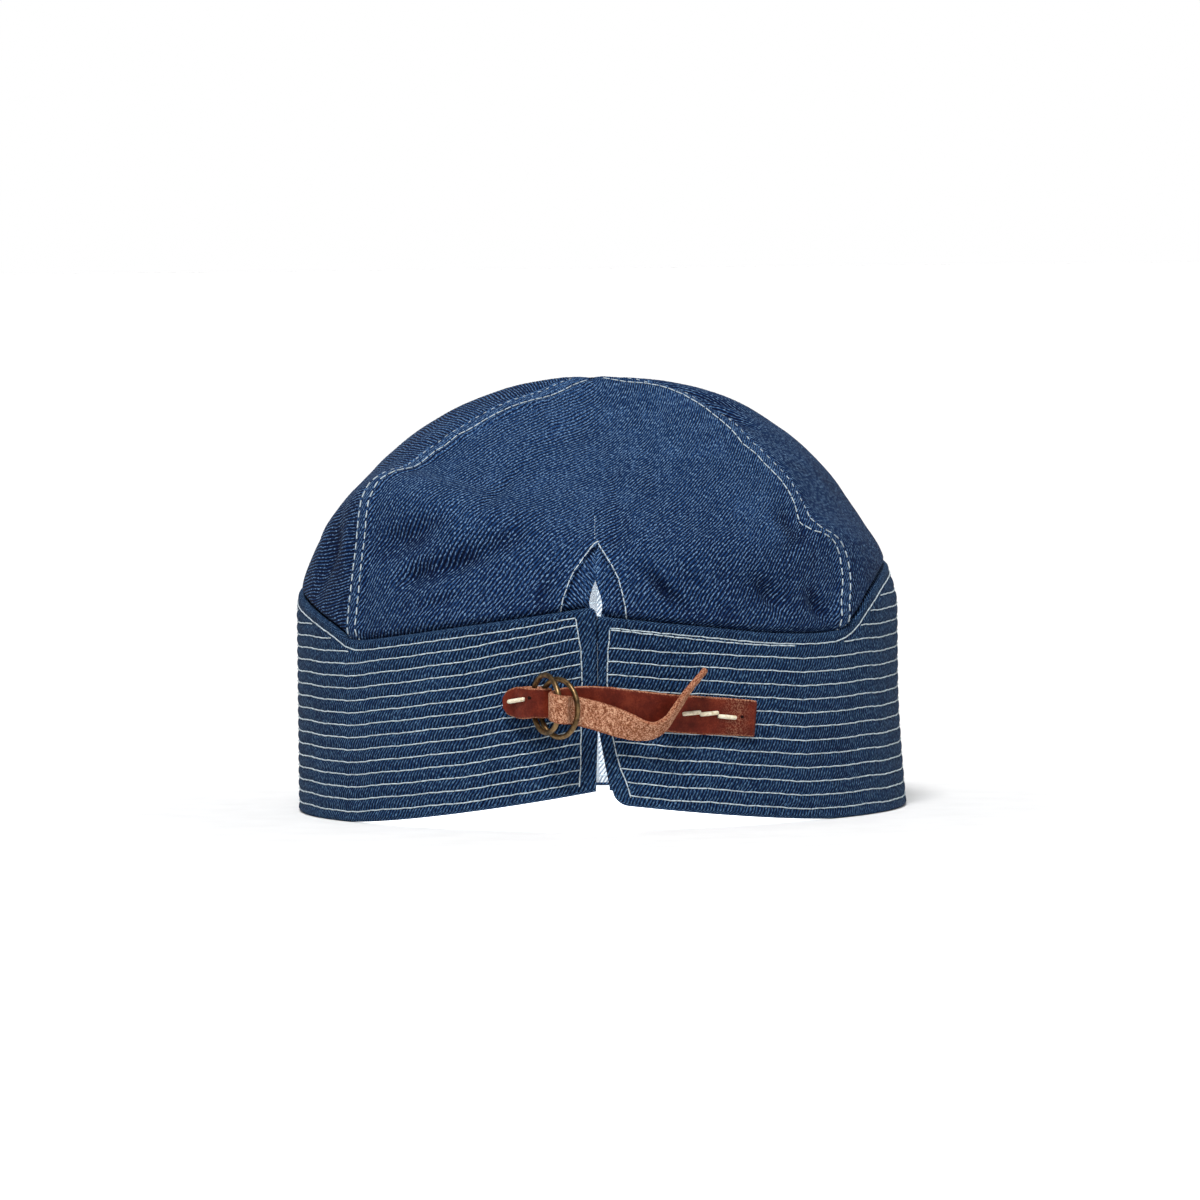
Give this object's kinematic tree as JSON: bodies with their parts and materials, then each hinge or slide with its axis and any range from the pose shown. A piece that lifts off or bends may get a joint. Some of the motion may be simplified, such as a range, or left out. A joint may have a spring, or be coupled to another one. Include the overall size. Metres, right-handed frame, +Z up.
{
  "type": "denim work cap",
  "caption": "Soft domed denim cap with a tall stitched band, a keyhole vent at the back and a leather strap cinched through brass rings.",
  "frame": {"origin": "centre of the whole cap's footprint on the plane that the rim stands on", "axes": "+Z up through the crown, -Y is the back of the cap with the split and the strap, +Y the front, +X the right side seen from behind"},
  "size_m": [0.182, 0.218, 0.1289],
  "materials": {
    "crown_denim": "washed indigo twill, matte",
    "band_denim": "raw indigo twill with off-white topstitching, matte",
    "leather": "red-brown full-grain leather, satin",
    "brass": "antique brass wire, worn satin"
  },
  "bodies": {
    "root": {"crown_back": "crown_denim", "crown_right": "crown_denim", "crown_front": "crown_denim", "crown_left": "crown_denim", "vent_facing": "crown_denim", "band": "band_denim", "ring_tab": "leather", "ring_back": "brass", "ring_front": "brass", "strap": "leather"}
  },
  "joints": []
}
